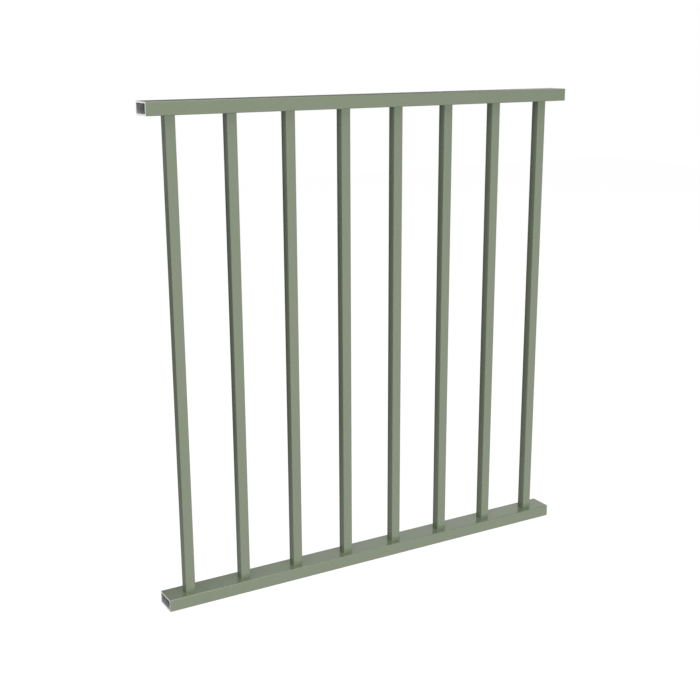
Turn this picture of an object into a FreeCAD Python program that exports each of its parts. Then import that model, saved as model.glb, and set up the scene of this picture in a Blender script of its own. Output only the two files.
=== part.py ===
"""Deck railing section: two rectangular tube rails joined by eight square tube pickets.

Millimetres. +X runs along the rails, +Y goes from the front to the back and +Z is up.
The origin is the centre of the bottom rail's left cut end, the face that meets a post.
Each picket passes through a square seat punched in the inner wall of each rail and ends
flush inside it, so that both rails keep a clear bore from end to end.
"""

import FreeCAD, Part
import Sketcher
import math
import os

# Driving dimensions: name, value, meaning
SIZES = (
    ("panel_height", 980, "underside of the bottom rail to the top of the top rail"),
    ("rail_depth", 50, "rail section, front to back"),
    ("rail_height", 25, "rail section, bottom to top"),
    ("rail_wall", 3, "wall of the rails"),
    ("rail_corner", 1.5, "outside corner radius of the rail section"),
    ("rail_inner_corner", 0.5, "inside corner radius of the rail section"),
    ("picket_count", 8, "number of pickets"),
    ("picket_gap", 100, "clear opening between two pickets"),
    ("end_gap", 40, "end of a rail to the side of the nearest picket"),
    ("picket_width", 20, "side of the square picket section"),
    ("picket_wall", 1.5, "wall of the pickets"),
    ("picket_corner", 1.2, "outside corner radius of the picket section"),
    ("picket_inner_corner", 0.4, "inside corner radius of the picket section"),
    ("seat_clearance", 0.15, "play all round a picket in its seat"),
)

# Sizes that follow from the driving dimensions
PITCH = "(Sizes.picket_width + Sizes.picket_gap)"
FIRST_PICKET = "(Sizes.end_gap + Sizes.picket_width / 2)"
PICKET_SPAN = f"(Sizes.picket_count - 1) * {PITCH}"
RAIL_LENGTH = f"{PICKET_SPAN} + 2 * {FIRST_PICKET}"
RAIL_SPACING = "Sizes.panel_height - Sizes.rail_height"
HALF_BORE = "(Sizes.rail_height / 2 - Sizes.rail_wall)"
PICKET_LENGTH = f"{RAIL_SPACING} - 2 * {HALF_BORE}"
SEAT_WIDTH = "Sizes.picket_width + 2 * Sizes.seat_clearance"
SEAT_CORNER = "Sizes.picket_corner + Sizes.seat_clearance"


def make_sheet(doc):
    """Puts each driving dimension in a spreadsheet cell with its name as the alias."""
    sheet = doc.addObject("Spreadsheet::Sheet", "Sizes")
    for row, (name, value, meaning) in enumerate(SIZES, start=1):
        sheet.set(f"A{row}", name)
        sheet.set(f"B{row}", str(value))
        sheet.set(f"C{row}", meaning)
        sheet.setAlias(f"B{row}", name)
    doc.recompute()
    return sheet


def origin_feature(body, role):
    """Finds a plane or an axis of the body's own origin, such as XY_Plane."""
    return next(item for item in body.Origin.OriginFeatures if item.Role == role)


def new_sketch(body, name, plane):
    """Starts a sketch on one of the body's origin planes."""
    sketch = body.newObject("Sketcher::SketchObject", name)
    sketch.AttachmentSupport = [(origin_feature(body, plane), "")]
    sketch.MapMode = "FlatFace"
    return sketch


def bind(sketch, name, expression, constraint):
    """Adds a dimension that follows an expression."""
    index = sketch.addConstraint(constraint)
    sketch.renameConstraint(index, name)
    sketch.setExpression(f"Constraints.{name}", expression)


def draw_point_on_axis(sketch, name, distance):
    """Draws a construction point on the sketch's horizontal axis and returns its index."""
    drawn_at = 10
    point = sketch.addGeometry(Part.Point(FreeCAD.Vector(drawn_at, 0, 0)), True)
    sketch.addConstraint(Sketcher.Constraint("PointOnObject", point, 1, -1))
    bind(sketch, name, distance, Sketcher.Constraint("DistanceX", -1, 1, point, 1, drawn_at))
    return point


def draw_rounded_rectangle(sketch, name, width, height, corner, centre=-1):
    """Draws a rounded rectangle about a point, the sketch's origin unless another is given.

    It is drawn as a rounded square of a rough size, and its dimensions then set it.
    """
    half, radius = 10, 1
    flat = half - radius
    sides = []
    corners = []
    for quarter in range(4):
        turn = FreeCAD.Rotation(FreeCAD.Vector(0, 0, 1), 90 * quarter)
        start = turn.multVec(FreeCAD.Vector(-flat, -half, 0))
        end = turn.multVec(FreeCAD.Vector(flat, -half, 0))
        middle = turn.multVec(FreeCAD.Vector(flat, -flat, 0))
        circle = Part.Circle(middle, FreeCAD.Vector(0, 0, 1), radius)
        angle = (quarter - 1) * math.pi / 2
        sides.append(sketch.addGeometry(Part.LineSegment(start, end)))
        corners.append(sketch.addGeometry(Part.ArcOfCircle(circle, angle, angle + math.pi / 2)))
    bottom, right, top, left = sides
    for side in (bottom, top):
        sketch.addConstraint(Sketcher.Constraint("Horizontal", side))
    for side in (right, left):
        sketch.addConstraint(Sketcher.Constraint("Vertical", side))
    for side, arc, next_side in zip(sides, corners, sides[1:] + sides[:1]):
        sketch.addConstraint(Sketcher.Constraint("Tangent", side, 2, arc, 1))
        sketch.addConstraint(Sketcher.Constraint("Tangent", arc, 2, next_side, 1))
    for arc in corners[1:]:
        sketch.addConstraint(Sketcher.Constraint("Equal", corners[0], arc))
    sketch.addConstraint(Sketcher.Constraint("Symmetric", corners[0], 3, corners[2], 3, centre, 1))
    bind(sketch, f"{name}_corner", corner, Sketcher.Constraint("Radius", corners[0], radius))
    bind(sketch, f"{name}_width", width, Sketcher.Constraint("DistanceX", left, 1, right, 1, 2 * half))
    bind(sketch, f"{name}_height", height, Sketcher.Constraint("DistanceY", bottom, 1, top, 1, 2 * half))


def make_tube(doc, name, plane, kind, width, height, length):
    """Makes a body with one rounded rectangular tube, its wall and corners read by kind."""
    body = doc.addObject("PartDesign::Body", name)
    body.Label = name
    section = new_sketch(body, f"{name}_section", plane)
    draw_rounded_rectangle(section, "outside", width, height, f"Sizes.{kind}_corner")
    draw_rounded_rectangle(
        section,
        "bore",
        f"{width} - 2 * Sizes.{kind}_wall",
        f"{height} - 2 * Sizes.{kind}_wall",
        f"Sizes.{kind}_inner_corner",
    )
    tube = body.newObject("PartDesign::Pad", f"{name}_tube")
    tube.Profile = section
    tube.setExpression("Length", length)
    doc.recompute()
    return body, tube


def punch_seats(doc, body, tube, upwards):
    """Punches the row of square picket seats through the upper or the lower wall of a rail."""
    name = body.Label
    sketch = new_sketch(body, f"{name}_seat_outline", "XY_Plane")
    centre = draw_point_on_axis(sketch, "first_picket", FIRST_PICKET)
    draw_rounded_rectangle(sketch, "seat", SEAT_WIDTH, SEAT_WIDTH, SEAT_CORNER, centre)
    seat = body.newObject("PartDesign::Pocket", f"{name}_seat")
    seat.Profile = sketch
    seat.Type = "ThroughAll"
    seat.Reversed = upwards
    doc.recompute()
    row = body.newObject("PartDesign::LinearPattern", f"{name}_seat_row")
    row.Originals = [seat]
    row.Direction = (origin_feature(body, "X_Axis"), [""])
    row.setExpression("Length", PICKET_SPAN)
    row.setExpression("Occurrences", "Sizes.picket_count")
    body.Tip = row
    doc.recompute()
    if not row.Shape.Volume < seat.Shape.Volume < tube.Shape.Volume:
        raise RuntimeError(f"{name}: the picket seats cut nothing")


def make_rail(doc, name, seats_upwards, level):
    """Makes a rail along +X, its section centred on the body's own X axis."""
    body, tube = make_tube(doc, name, "YZ_Plane", "rail", "Sizes.rail_depth", "Sizes.rail_height", RAIL_LENGTH)
    punch_seats(doc, body, tube, seats_upwards)
    body.setExpression("Placement.Base.z", level)
    return body


def make_picket(doc, number):
    """Makes a picket, counted from the left, standing flush inside the two rails."""
    width = "Sizes.picket_width"
    body, _ = make_tube(doc, f"picket_{number}", "XY_Plane", "picket", width, width, PICKET_LENGTH)
    body.setExpression("Placement.Base.x", f"{FIRST_PICKET} + {number - 1} * {PITCH}")
    body.setExpression("Placement.Base.z", HALF_BORE)
    return body


def check_document(doc, bodies):
    """Stops on a failed object or on a shape that can't be written."""
    for item in doc.Objects:
        if "Invalid" in item.State or "Error" in item.State:
            raise RuntimeError(f"{item.Name} failed: {item.State}")
    for body in bodies:
        if body.Shape.isNull() or not body.Shape.isValid():
            raise RuntimeError(f"{body.Label} has no valid shape")


def main():
    """Builds the railing section and writes one file for each of its pieces."""
    doc = FreeCAD.newDocument("deck_railing_section")
    sheet = make_sheet(doc)
    bodies = [
        make_rail(doc, "bottom_rail", True, "0"),
        make_rail(doc, "top_rail", False, RAIL_SPACING),
    ]
    for number in range(1, int(sheet.picket_count) + 1):
        bodies.append(make_picket(doc, number))
    doc.recompute()
    check_document(doc, bodies)
    os.makedirs("parts", exist_ok=True)
    for body in bodies:
        body.Shape.exportStep(f"parts/{body.Label}.step")


main()
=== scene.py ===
"""Deck railing section in a plain studio: two tube rails, eight square pickets, satin paint.

Metres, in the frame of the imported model: +X along the rails, +Y to the back, +Z up, with the
origin at the centre of the bottom rail's left cut end.
"""

import logging
import math
from collections.abc import Iterable, Mapping
from dataclasses import dataclass, field
from enum import Enum
from typing import TypeAlias

import bmesh
import bpy
from mathutils import Matrix, Vector


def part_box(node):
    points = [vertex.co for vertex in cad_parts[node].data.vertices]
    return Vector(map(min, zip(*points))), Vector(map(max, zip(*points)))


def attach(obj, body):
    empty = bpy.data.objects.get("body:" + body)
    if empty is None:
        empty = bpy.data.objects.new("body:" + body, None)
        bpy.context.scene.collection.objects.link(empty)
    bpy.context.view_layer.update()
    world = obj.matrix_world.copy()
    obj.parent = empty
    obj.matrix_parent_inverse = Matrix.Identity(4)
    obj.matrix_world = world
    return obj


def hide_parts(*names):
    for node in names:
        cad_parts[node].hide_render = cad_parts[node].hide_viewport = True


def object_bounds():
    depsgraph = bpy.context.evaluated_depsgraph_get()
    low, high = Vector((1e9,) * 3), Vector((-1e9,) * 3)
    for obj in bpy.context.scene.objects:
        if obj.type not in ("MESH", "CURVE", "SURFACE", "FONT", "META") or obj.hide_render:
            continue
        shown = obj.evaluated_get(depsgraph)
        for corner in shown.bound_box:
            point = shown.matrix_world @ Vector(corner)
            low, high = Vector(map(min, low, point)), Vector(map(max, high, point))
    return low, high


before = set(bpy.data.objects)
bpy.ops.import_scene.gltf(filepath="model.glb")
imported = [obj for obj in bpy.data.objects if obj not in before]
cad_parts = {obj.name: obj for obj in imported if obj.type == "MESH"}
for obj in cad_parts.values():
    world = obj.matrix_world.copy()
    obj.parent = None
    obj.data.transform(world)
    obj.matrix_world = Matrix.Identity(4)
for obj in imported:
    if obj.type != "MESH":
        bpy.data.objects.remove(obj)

CAD_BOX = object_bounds()
BODY = "root"
MM = 0.001
# Heights closer than this are one level
SAME_LEVEL = 0.01 * MM
# A face whose normal has more than this along the tube is an end face
END_ON = 0.5
NOISE_MIDDLE = 0.5
# The numbers of a Mix node's colour sockets
MIX_FACTOR, MIX_FIRST, MIX_SECOND, MIX_RESULT = 0, 6, 7, 2

log = logging.getLogger("railing")

Colour: TypeAlias = tuple[float, float, float]
SocketValue: TypeAlias = "float | Colour | Value | bpy.types.NodeSocket"


class Axis(Enum):
    """The row axis that a tube runs along."""

    X = 0
    Z = 2


class Skin(Enum):
    """The material slot of each kind of surface on a tube."""

    PAINT = 0
    CUT = 1
    BORE = 2


class LampKind(Enum):
    """How a lamp throws its light."""

    SUN = "SUN"
    AREA = "AREA"


class Value:
    """A number in a shader, which adds Math nodes when it is used in an expression."""

    def __init__(self, graph: "Graph", socket: bpy.types.NodeSocket) -> None:
        """Holds a socket of a graph."""
        self.graph = graph
        self.socket = socket

    def _math(self, operation: str, first: SocketValue, second: SocketValue) -> "Value":
        """Adds one Math node.

        Args:
            operation: the Math node's operation.
            first: its first value.
            second: its second value.

        Returns:
            The node's result.
        """
        return self.graph.value("ShaderNodeMath", {"operation": operation}, {0: first, 1: second})

    def __add__(self, other: SocketValue) -> "Value":
        """Adds another value."""
        return self._math("ADD", self, other)

    def __radd__(self, other: SocketValue) -> "Value":
        """Is added to another value."""
        return self._math("ADD", other, self)

    def __sub__(self, other: SocketValue) -> "Value":
        """Subtracts another value."""
        return self._math("SUBTRACT", self, other)

    def __rsub__(self, other: SocketValue) -> "Value":
        """Is subtracted from another value."""
        return self._math("SUBTRACT", other, self)

    def __mul__(self, other: SocketValue) -> "Value":
        """Multiplies by another value."""
        return self._math("MULTIPLY", self, other)

    def __rmul__(self, other: SocketValue) -> "Value":
        """Multiplies another value."""
        return self._math("MULTIPLY", other, self)

    def at_most(self, limit: SocketValue) -> "Value":
        """Caps the value at a limit."""
        return self._math("MINIMUM", self, limit)


class Graph:
    """The node tree of one material, or of the world."""

    def __init__(self, tree: bpy.types.NodeTree) -> None:
        """Empties a tree and takes it over."""
        tree.nodes.clear()
        self.tree = tree

    def node(
        self,
        kind: str,
        settings: Mapping[str, object] | None = None,
        sockets: Mapping[int | str, SocketValue] | None = None,
    ) -> bpy.types.Node:
        """Adds a node.

        Args:
            kind: the node's type.
            settings: its own settings, set first.
            sockets: a value or a link for each input, by name or number.

        Returns:
            The new node.
        """
        node = self.tree.nodes.new(kind)
        for name, setting in (settings or {}).items():
            setattr(node, name, setting)
        for key, value in (sockets or {}).items():
            socket = node.inputs[key]
            if isinstance(value, Value):
                self.tree.links.new(value.socket, socket)
            elif isinstance(value, bpy.types.NodeSocket):
                self.tree.links.new(value, socket)
            elif isinstance(value, tuple) and socket.type == "RGBA":
                socket.default_value = (*value, 1.0)
            else:
                socket.default_value = value
        return node

    def value(
        self,
        kind: str,
        settings: Mapping[str, object] | None = None,
        sockets: Mapping[int | str, SocketValue] | None = None,
        output: int | str = 0,
    ) -> Value:
        """Adds a node and wraps one of its outputs.

        Args:
            kind: the node's type.
            settings: its own settings, set first.
            sockets: a value or a link for each input, by name or number.
            output: the output that is wrapped, by name or number.

        Returns:
            The output as a value.
        """
        return Value(self, self.node(kind, settings, sockets).outputs[output])

    def object_points(self, stretch: tuple[float, float, float] = (1.0, 1.0, 1.0)) -> bpy.types.NodeSocket:
        """Gives Object coordinates.

        Args:
            stretch: a factor for each axis.

        Returns:
            The coordinates' socket.
        """
        points = self.node("ShaderNodeTexCoord").outputs["Object"]
        return self.node("ShaderNodeMapping", None, {"Vector": points, "Scale": stretch}).outputs[0]

    def noise(self, points: bpy.types.NodeSocket, per_metre: float, detail: float = 2.0) -> Value:
        """Adds a noise about a half.

        Args:
            points: where it is read.
            per_metre: how many of its features fit in a metre.
            detail: its octaves.

        Returns:
            The noise, from 0 to 1.
        """
        sockets = {"Vector": points, "Scale": per_metre, "Detail": detail}
        return self.value("ShaderNodeTexNoise", None, sockets)

    def fade(self, value: Value, start: float, end: float, low: SocketValue, high: float) -> Value:
        """Fades smoothly from one number to another.

        Args:
            value: what the fade follows.
            start: where it begins.
            end: where it ends.
            low: the result at the start.
            high: the result at the end.

        Returns:
            The faded number.
        """
        return self.value(
            "ShaderNodeMapRange",
            {"interpolation_type": "SMOOTHSTEP"},
            {"Value": value, "From Min": start, "From Max": end, "To Min": low, "To Max": high},
        )

    def blend(self, factor: SocketValue, first: Colour, second: Colour) -> bpy.types.NodeSocket:
        """Mixes two colours.

        Args:
            factor: 0 for the first, 1 for the second.
            first: a colour.
            second: another colour.

        Returns:
            The mixed colour's socket.
        """
        sockets = {MIX_FACTOR: factor, MIX_FIRST: first, MIX_SECOND: second}
        return self.node("ShaderNodeMix", {"data_type": "RGBA"}, sockets).outputs[MIX_RESULT]

    def bump(self, height: Value, depth: float, strength: float) -> bpy.types.NodeSocket:
        """Adds a bump.

        Args:
            height: its height, from 0 to 1.
            depth: the depth of a height of 1, in metres.
            strength: its strength.

        Returns:
            The normal's socket.
        """
        sockets = {"Height": height, "Distance": depth, "Strength": strength}
        return self.node("ShaderNodeBump", None, sockets).outputs[0]


def new_material(name: str) -> tuple[bpy.types.Material, Graph]:
    """Starts a material.

    Args:
        name: its name.

    Returns:
        The material and its graph.
    """
    material = bpy.data.materials.new(name)
    material.use_nodes = True
    return material, Graph(material.node_tree)


@dataclass(frozen=True)
class SatinPowderCoat:
    """Sage green powder coat: fine metal flake under a clear coat, with a trace of orange peel."""

    colour: Colour = (0.218, 0.260, 0.176)
    shade: Colour = (0.209, 0.250, 0.169)
    flake: float = 0.35
    roughness: float = 0.28
    roughness_swing: float = 0.05
    ior: float = 1.5
    clear_coat: float = 1.0
    clear_coat_roughness: float = 0.10
    clear_coat_ior: float = 1.6
    peel_per_metre: float = 320.0
    peel_depth: float = 0.012 * MM
    peel_strength: float = 0.25
    cloud_per_metre: float = 7.0

    def make(self) -> bpy.types.Material:
        """Makes the material.

        Returns:
            The powder coat.
        """
        material, graph = new_material("sage_powder_coat")
        points = graph.object_points()
        cloud = graph.noise(points, self.cloud_per_metre)
        peel = graph.noise(points, self.peel_per_metre, detail=1.0)
        surface = graph.node(
            "ShaderNodeBsdfPrincipled",
            None,
            {
                "Base Color": graph.blend(cloud, self.shade, self.colour),
                "Metallic": self.flake,
                "Roughness": self.roughness + self.roughness_swing * (cloud - NOISE_MIDDLE),
                "IOR": self.ior,
                "Coat Weight": self.clear_coat,
                "Coat Roughness": self.clear_coat_roughness,
                "Coat IOR": self.clear_coat_ior,
                "Normal": graph.bump(peel, self.peel_depth, self.peel_strength),
            },
        )
        graph.node("ShaderNodeOutputMaterial", None, {"Surface": surface.outputs[0]})
        return material


@dataclass(frozen=True)
class BareAluminium:
    """Unpainted aluminium, with fine lines along the axis that stretch makes small."""

    name: str
    colour: Colour
    shade: Colour
    metallic: float
    roughness: float
    stretch: tuple[float, float, float]
    roughness_swing: float = 0.16
    line_depth: float = 0.02 * MM
    line_strength: float = 0.3
    lines_per_metre: float = 900.0

    def make(self) -> bpy.types.Material:
        """Makes the material.

        Returns:
            The bare metal.
        """
        material, graph = new_material(self.name)
        lines = graph.noise(graph.object_points(self.stretch), self.lines_per_metre)
        surface = graph.node(
            "ShaderNodeBsdfPrincipled",
            None,
            {
                "Base Color": graph.blend(lines, self.shade, self.colour),
                "Metallic": self.metallic,
                "Roughness": self.roughness + self.roughness_swing * (lines - NOISE_MIDDLE),
                "Normal": graph.bump(lines, self.line_depth, self.line_strength),
            },
        )
        graph.node("ShaderNodeOutputMaterial", None, {"Surface": surface.outputs[0]})
        return material


SAWN_END = BareAluminium(
    name="sawn_aluminium",
    colour=(0.98, 0.98, 0.98),
    shade=(0.93, 0.93, 0.93),
    metallic=0.0,
    roughness=0.45,
    stretch=(1.0, 0.03, 1.0),
)
DRAWN_BORE = BareAluminium(
    name="drawn_aluminium",
    colour=(0.72, 0.72, 0.73),
    shade=(0.62, 0.62, 0.63),
    metallic=0.55,
    roughness=0.50,
    stretch=(0.02, 1.0, 1.0),
)


def compass(azimuth: float, elevation: float) -> Vector:
    """Turns a bearing into a direction.

    Args:
        azimuth: 0 for straight in front of the object and 90 for its right, in degrees.
        elevation: the height above the floor, in degrees.

    Returns:
        The unit vector from the object towards that bearing.
    """
    turn, rise = math.radians(azimuth), math.radians(elevation)
    return Vector((math.sin(turn) * math.cos(rise), -math.cos(turn) * math.cos(rise), math.sin(rise)))


@dataclass(frozen=True)
class SkyPatch:
    """A soft round patch of the surroundings, full inside core and faded out at reach."""

    azimuth: float
    elevation: float
    core: float
    reach: float
    level: float

    def cover(self, graph: Graph, direction: bpy.types.NodeSocket) -> Value:
        """Works out how much of the patch is seen.

        Args:
            graph: the world's graph.
            direction: the direction that is looked in.

        Returns:
            Its level there, or 0 beyond its reach.
        """
        middle = tuple(compass(self.azimuth, self.elevation))
        dot = {"operation": "DOT_PRODUCT"}
        nearness = graph.value("ShaderNodeVectorMath", dot, {0: direction, 1: middle}, "Value")
        rim, full = math.cos(math.radians(self.reach)), math.cos(math.radians(self.core))
        return graph.fade(nearness, rim, full, 0.0, self.level)


@dataclass(frozen=True)
class StudioWhite:
    """The pale floor and the white background, and how both fade in the paint's reflections.

    The camera sees both as white. A mirrored ray sees the floor at the level of pool in front and of
    skirt further back, faded between places along Y in metres, and the room at the level of room,
    less where a backdrop covers it and more at the card. All other rays light the object, from the
    floor by floor_bounce and from the room by fill. floor_glow scales all that the floor gives off.
    """

    floor_colour: Colour = (0.08, 0.08, 0.08)
    floor_glow: float = 0.96
    pool: float = 0.54
    floor_fade: tuple[float, float] = (0.22, -0.18)
    skirt: float = 0.17
    skirt_fade: tuple[float, float] = (1.2, 0.1)
    floor_bounce: float = 0.40
    fill: float = 0.12
    room: float = 0.55
    backdrops: tuple[SkyPatch, ...] = (
        SkyPatch(azimuth=-150.0, elevation=-25.0, core=68.5, reach=75.5, level=0.75),
        SkyPatch(azimuth=60.0, elevation=40.0, core=35.0, reach=50.0, level=0.80),
    )
    card: SkyPatch = SkyPatch(azimuth=-8.0, elevation=55.0, core=24.0, reach=38.0, level=2.2)

    def rays(self, graph: Graph) -> tuple[Value, Value]:
        """Tells the rays that see the background from those that only light the object.

        Args:
            graph: the graph it is read in.

        Returns:
            1 for camera rays, and 1 for mirror and transmission rays.
        """
        path = graph.node("ShaderNodeLightPath").outputs
        camera, glossy, through = (
            Value(graph, path[name]) for name in ("Is Camera Ray", "Is Glossy Ray", "Is Transmission Ray")
        )
        mirror = (glossy + through).at_most(1.0)
        return camera, mirror * (1.0 - camera)

    def make_floor(self) -> bpy.types.Material:
        """Makes the floor's material.

        Returns:
            A pale floor that reads as white, takes a shadow and fades towards the back in reflections.
        """
        material, graph = new_material("studio_floor")
        camera, mirror = self.rays(graph)
        place = graph.value("ShaderNodeSeparateXYZ", None, {"Vector": graph.object_points()}, "Y")
        skirt = graph.fade(place, *self.skirt_fade, 0.0, self.skirt)
        pool = graph.fade(place, *self.floor_fade, skirt, self.pool)
        cloth = graph.node("ShaderNodeBsdfDiffuse", None, {"Color": self.floor_colour})
        bounce = self.floor_bounce * (1.0 - camera - mirror)
        strength = (camera + mirror * pool + bounce) * self.floor_glow
        glow = graph.node("ShaderNodeEmission", None, {"Strength": strength})
        both = graph.node("ShaderNodeAddShader", None, {0: cloth.outputs[0], 1: glow.outputs[0]})
        graph.node("ShaderNodeOutputMaterial", None, {"Surface": both.outputs[0]})
        return material

    def light_world(self, world: bpy.types.World) -> None:
        """Sets up the world.

        Args:
            world: the scene's world.
        """
        world.use_nodes = True
        graph = Graph(world.node_tree)
        camera, mirror = self.rays(graph)
        direction = graph.node("ShaderNodeTexCoord").outputs["Generated"]
        around: SocketValue = self.room
        for backdrop in self.backdrops:
            around = around * (1.0 - backdrop.cover(graph, direction))
        reflected = mirror * (around + self.card.cover(graph, direction))
        lighting = self.fill * (1.0 - camera - mirror)
        strength = camera + reflected + lighting
        sky = graph.node("ShaderNodeBackground", None, {"Color": (1.0, 1.0, 1.0), "Strength": strength})
        graph.node("ShaderNodeOutputWorld", None, {"Surface": sky.outputs[0]})


@dataclass
class Tube:
    """A rectangular tube with rounded corners, open at both ends.

    low and high are the corners of its box, and seats are the centres of the square holes punched
    in one wall, which seat_side names: 1 for the upper wall, -1 for the lower one.
    """

    name: str
    axis: Axis
    low: Vector
    high: Vector
    wall: float
    corner: float
    inner_corner: float
    end_round: float
    seats: list[Vector] = field(default_factory=list)
    seat_side: int = 0
    seat_width: float = 0.0
    seat_corner: float = 0.0
    corner_steps: int = 6
    end_steps: int = 3
    crisp_angle: float = math.radians(35.0)

    def bar(
        self, mesh: bmesh.types.BMesh, low: Vector, high: Vector, corner: float
    ) -> list[bmesh.types.BMFace]:
        """Adds a solid bar whose long edges are rounded.

        Args:
            mesh: the mesh it is added to.
            low: the lowest corner of its box.
            high: the highest corner of its box.
            corner: the radius of its long edges.

        Returns:
            Its two end faces, the low one first.
        """
        before = set(mesh.faces)
        place = Matrix.Translation((low + high) / 2) @ Matrix.Diagonal((*(high - low), 1.0))
        verts = set(bmesh.ops.create_cube(mesh, size=1.0, matrix=place)["verts"])
        along = self.axis.value
        edges = [edge for edge in mesh.edges if edge.verts[0] in verts]
        long_edges = [e for e in edges if abs(e.verts[0].co[along] - e.verts[1].co[along]) > MM]
        bmesh.ops.bevel(
            mesh,
            geom=long_edges,
            offset=corner,
            affect="EDGES",
            segments=self.corner_steps,
            profile=0.5,
            material=-1,
        )
        added = [face for face in mesh.faces if face not in before]
        ends = [face for face in added if abs(face.normal[along]) > END_ON]
        return sorted(ends, key=lambda face: face.calc_center_median()[along])

    def round_end(self, mesh: bmesh.types.BMesh, end: bmesh.types.BMFace) -> None:
        """Rounds the outer edge of a cut end, pushing the end face out to the tube's full length.

        Args:
            mesh: the tube's mesh.
            end: the end face, which stands back by the radius.
        """
        turned_in = pushed_out = 0.0
        for step in range(1, self.end_steps + 1):
            angle = math.pi / 2 * step / self.end_steps
            turn_in = self.end_round * (1.0 - math.cos(angle))
            push_out = self.end_round * math.sin(angle)
            bmesh.ops.inset_region(
                mesh,
                faces=[end],
                thickness=turn_in - turned_in,
                depth=push_out - pushed_out,
                use_even_offset=True,
                use_boundary=True,
            )
            turned_in, pushed_out = turn_in, push_out

    def fill(self, mesh: bmesh.types.BMesh, edges: list[bmesh.types.BMEdge], skin: int) -> None:
        """Fills a flat outline, leaving its holes open.

        Args:
            mesh: the tube's mesh.
            edges: the outline's edges and those of its holes.
            skin: the material slot of the new faces.
        """
        filled = bmesh.ops.triangle_fill(mesh, use_beauty=True, edges=edges)
        for face in filled["geom"]:
            if isinstance(face, bmesh.types.BMFace):
                face.material_index = skin

    def seat_loop(self, mesh: bmesh.types.BMesh, seat: Vector, level: float) -> list[bmesh.types.BMEdge]:
        """Draws the rounded square outline of a seat.

        Args:
            mesh: the tube's mesh.
            seat: the seat's centre.
            level: its height.

        Returns:
            The outline's edges.
        """
        place = Matrix.Translation((seat.x, seat.y, level))
        half = self.seat_width / 2
        square = bmesh.ops.create_grid(mesh, x_segments=1, y_segments=1, size=half, matrix=place)
        rounded = bmesh.ops.bevel(
            mesh,
            geom=square["verts"],
            offset=self.seat_corner,
            affect="VERTICES",
            segments=self.corner_steps,
            profile=0.5,
            material=-1,
        )
        face = rounded["verts"][0].link_faces[0]
        edges = list(face.edges)
        bmesh.ops.delete(mesh, geom=[face], context="FACES_ONLY")
        return edges

    def punch(self, mesh: bmesh.types.BMesh) -> None:
        """Cuts the seats through one wall: its two flat faces are filled again round the holes.

        Args:
            mesh: the tube's mesh.
        """
        outside = self.high.z if self.seat_side > 0 else self.low.z
        inside = outside - self.seat_side * self.wall
        outlines = []
        for level in (outside, inside):
            flat = max(
                (f for f in mesh.faces if all(abs(v.co.z - level) < SAME_LEVEL for v in f.verts)),
                key=lambda f: f.calc_area(),
            )
            rim = list(flat.edges)
            skin = flat.material_index
            bmesh.ops.delete(mesh, geom=[flat], context="FACES_ONLY")
            holes = [self.seat_loop(mesh, seat, level) for seat in self.seats]
            self.fill(mesh, rim + [edge for hole in holes for edge in hole], skin)
            outlines.append(holes)
        for outer, inner in zip(*outlines, strict=True):
            bmesh.ops.bridge_loops(mesh, edges=outer + inner)

    def build(self) -> bpy.types.Object:
        """Builds the tube.

        Returns:
            The tube's object, with its place in its mesh.
        """
        along = self.axis.value
        across = [axis for axis in range(3) if axis != along]
        mesh = bmesh.new()
        low, high = self.low.copy(), self.high.copy()
        low[along] += self.end_round
        high[along] -= self.end_round
        outer_ends = self.bar(mesh, low, high, self.corner)
        if self.end_round:
            for end in outer_ends:
                self.round_end(mesh, end)
        low, high = self.low.copy(), self.high.copy()
        for axis in across:
            low[axis] += self.wall
            high[axis] -= self.wall
        before = set(mesh.faces)
        inner_ends = self.bar(mesh, low, high, self.inner_corner)
        bore = [face for face in mesh.faces if face not in before]
        for face in bore:
            face.material_index = Skin.BORE.value
        for outer, inner in zip(outer_ends, inner_ends, strict=True):
            rims = list(outer.edges) + list(inner.edges)
            bmesh.ops.delete(mesh, geom=[outer, inner], context="FACES_ONLY")
            self.fill(mesh, rims, Skin.CUT.value)
        if self.seats:
            self.punch(mesh)
        bmesh.ops.recalc_face_normals(mesh, faces=mesh.faces)
        return self.finish(mesh)

    def finish(self, mesh: bmesh.types.BMesh) -> bpy.types.Object:
        """Turns the mesh into an object with flat faces, round corners and crisp ends.

        Args:
            mesh: the finished mesh, which is freed.

        Returns:
            The object.
        """
        for face in mesh.faces:
            face.smooth = True
        for edge in mesh.edges:
            edge.smooth = edge.calc_face_angle(0.0) < self.crisp_angle
        data = bpy.data.meshes.new(self.name)
        mesh.to_mesh(data)
        mesh.free()
        tube = bpy.data.objects.new(self.name, data)
        bpy.context.scene.collection.objects.link(tube)
        normals = tube.modifiers.new("flat_faces", "WEIGHTED_NORMAL")
        normals.keep_sharp = True
        return tube


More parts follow.
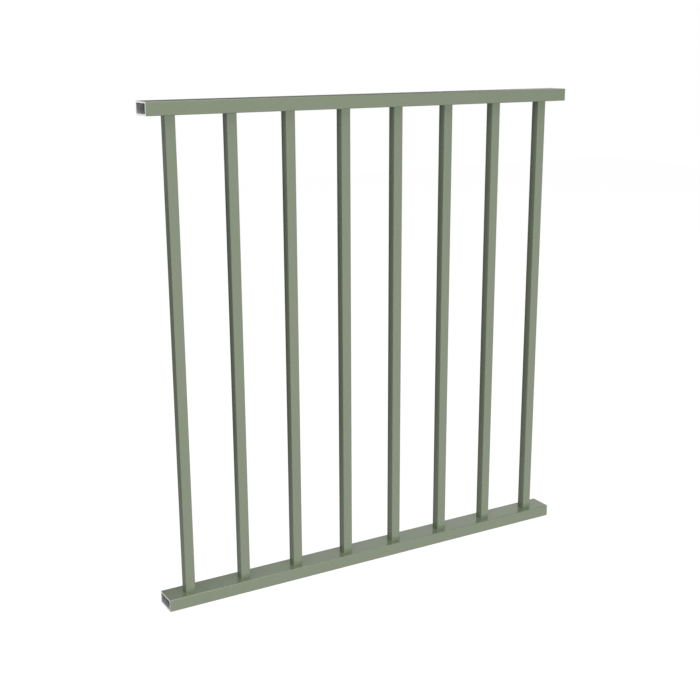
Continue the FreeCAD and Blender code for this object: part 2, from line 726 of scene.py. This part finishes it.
@dataclass
class RailingSection:
    """The whole section: a tube for each rail and each picket of the frame."""

    skins: dict[Skin, bpy.types.Material]
    rail_wall: float = 3.0 * MM
    rail_corner: float = 1.5 * MM
    rail_inner_corner: float = 0.5 * MM
    rail_end_round: float = 0.3 * MM
    picket_wall: float = 1.5 * MM
    picket_corner: float = 1.2 * MM
    picket_inner_corner: float = 0.4 * MM
    seat_clearance: float = 0.15 * MM

    def picket_names(self) -> list[str]:
        """Lists the frame's pickets from the left."""
        names = [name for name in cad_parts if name.startswith("picket_")]
        return sorted(names, key=lambda name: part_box(name)[0].x)

    def rail(self, name: str, seat_side: int) -> Tube:
        """Describes a rail.

        Args:
            name: the rail's node.
            seat_side: 1 if its pickets stand on it, -1 if they hang below it.

        Returns:
            The rail's tube.
        """
        low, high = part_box(name)
        boxes = [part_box(picket) for picket in self.picket_names()]
        width = boxes[0][1].x - boxes[0][0].x
        return Tube(
            name=f"painted_{name}",
            axis=Axis.X,
            low=low,
            high=high,
            wall=self.rail_wall,
            corner=self.rail_corner,
            inner_corner=self.rail_inner_corner,
            end_round=self.rail_end_round,
            seats=[(a + b) / 2 for a, b in boxes],
            seat_side=seat_side,
            seat_width=width + 2 * self.seat_clearance,
            seat_corner=self.picket_corner + self.seat_clearance,
        )

    def picket(self, name: str) -> Tube:
        """Describes a picket.

        Args:
            name: the picket's node.

        Returns:
            The picket's tube.
        """
        low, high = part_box(name)
        return Tube(
            name=f"painted_{name}",
            axis=Axis.Z,
            low=low,
            high=high,
            wall=self.picket_wall,
            corner=self.picket_corner,
            inner_corner=self.picket_inner_corner,
            end_round=0.0,
        )

    def dress(self, tube: bpy.types.Object, node: str) -> None:
        """Paints a tube and gives it its node's place in the model.

        Args:
            tube: the tube's object.
            node: the node it stands for.
        """
        for skin in Skin:
            tube.data.materials.append(self.skins[skin])
        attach(tube, BODY)
        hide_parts(node)
        log.info("%s: %d faces", tube.name, len(tube.data.polygons))

    def build(self) -> None:
        """Builds and dresses every piece."""
        self.dress(self.rail("bottom_rail", 1).build(), "bottom_rail")
        self.dress(self.rail("top_rail", -1).build(), "top_rail")
        for name in self.picket_names():
            self.dress(self.picket(name).build(), name)


@dataclass(frozen=True)
class Lamp:
    """A soft lamp that shines on the middle of the object from a compass point and a height.

    azimuth 0 is straight in front and 90 is to the right, in degrees. spread is the sun's width in
    degrees, or the side of an area lamp in metres. distance only matters to an area lamp. The paint
    doesn't mirror a lamp, only the card, the room and the floor.
    """

    name: str
    kind: LampKind
    azimuth: float
    elevation: float
    spread: float
    power: float
    distance: float = 5.0

    def hang(self, aim: Vector) -> None:
        """Puts up the lamp.

        Args:
            aim: the point it shines on.
        """
        towards = compass(self.azimuth, self.elevation)
        data = bpy.data.lights.new(self.name, self.kind.value)
        data.energy = self.power
        if self.kind is LampKind.SUN:
            data.angle = math.radians(self.spread)
        else:
            data.shape = "SQUARE"
            data.size = self.spread
        lamp = bpy.data.objects.new(self.name, data)
        lamp.visible_glossy = False
        lamp.location = aim + towards * self.distance
        lamp.rotation_mode = "QUATERNION"
        lamp.rotation_quaternion = towards.to_track_quat("Z", "Y")
        bpy.context.scene.collection.objects.link(lamp)


@dataclass
class Studio:
    """A pale floor, a white background and soft lamps."""

    white: StudioWhite
    floor_drop: float = 80.0 * MM
    floor_side: float = 14.0
    lamps: tuple[Lamp, ...] = (
        Lamp("key", LampKind.SUN, azimuth=28.0, elevation=4.0, spread=8.0, power=2.70),
        Lamp("side", LampKind.SUN, azimuth=-84.0, elevation=0.5, spread=12.0, power=1.50),
        Lamp("back", LampKind.SUN, azimuth=172.0, elevation=2.0, spread=8.0, power=5.0),
        Lamp("top", LampKind.AREA, azimuth=-25.0, elevation=80.0, spread=7.3, power=380.0),
    )

    def build(self, low: Vector, high: Vector) -> None:
        """Builds the studio round the object.

        Args:
            low: the lowest corner of the object's box.
            high: the highest corner of the object's box.
        """
        middle = (low + high) / 2
        self.lay_floor(Vector((middle.x, middle.y, low.z - self.floor_drop)))
        scene = bpy.context.scene
        scene.world = scene.world or bpy.data.worlds.new("studio")
        self.white.light_world(scene.world)
        for lamp in self.lamps:
            lamp.hang(middle)

    def lay_floor(self, middle: Vector) -> None:
        """Lays the floor.

        Args:
            middle: its centre.
        """
        mesh = bmesh.new()
        half, place = self.floor_side / 2, Matrix.Translation(middle)
        bmesh.ops.create_grid(mesh, x_segments=1, y_segments=1, size=half, matrix=place)
        data = bpy.data.meshes.new("floor")
        mesh.to_mesh(data)
        mesh.free()
        data.materials.append(self.white.make_floor())
        floor = bpy.data.objects.new("floor", data)
        bpy.context.scene.collection.objects.link(floor)


@dataclass(frozen=True)
class PhotoCamera:
    """The photograph's viewpoint, worked out from the edges of the rails and pickets."""

    place: Vector = Vector((-0.7060, -1.9676, 1.0697))
    turn: float = 29.835
    tilt: float = 15.134
    roll: float = -0.252
    focal_length_px: float = 1146.5
    frame_px: int = 700
    sensor: float = 36.0

    def make(self) -> None:
        """Makes the camera the scene's own."""
        turn, tilt, roll = (math.radians(angle) for angle in (self.turn, self.tilt, self.roll))
        level_forward = Vector((math.sin(turn), math.cos(turn), 0.0))
        level_right = Vector((math.cos(turn), -math.sin(turn), 0.0))
        up = Vector((0.0, 0.0, 1.0))
        forward = math.cos(tilt) * level_forward - math.sin(tilt) * up
        upright = math.sin(tilt) * level_forward + math.cos(tilt) * up
        right = math.cos(roll) * level_right + math.sin(roll) * upright
        top = -math.sin(roll) * level_right + math.cos(roll) * upright
        data = bpy.data.cameras.new("photo_camera")
        data.sensor_width = self.sensor
        data.lens = self.focal_length_px * self.sensor / self.frame_px
        camera = bpy.data.objects.new("photo_camera", data)
        axes = Matrix((right, top, -forward)).transposed()
        camera.matrix_world = Matrix.Translation(self.place) @ axes.to_4x4()
        bpy.context.scene.collection.objects.link(camera)
        bpy.context.scene.camera = camera


def main() -> None:
    """Builds the railing section, the studio and the camera."""
    logging.basicConfig(level=logging.INFO, format="%(message)s")
    bpy.context.scene.view_settings.view_transform = "Standard"
    PhotoCamera().make()
    skins = {
        Skin.PAINT: SatinPowderCoat().make(),
        Skin.CUT: SAWN_END.make(),
        Skin.BORE: DRAWN_BORE.make(),
    }
    RailingSection(skins).build()
    Studio(white=StudioWhite()).build(*CAD_BOX)


if __name__ == "__main__":
    main()
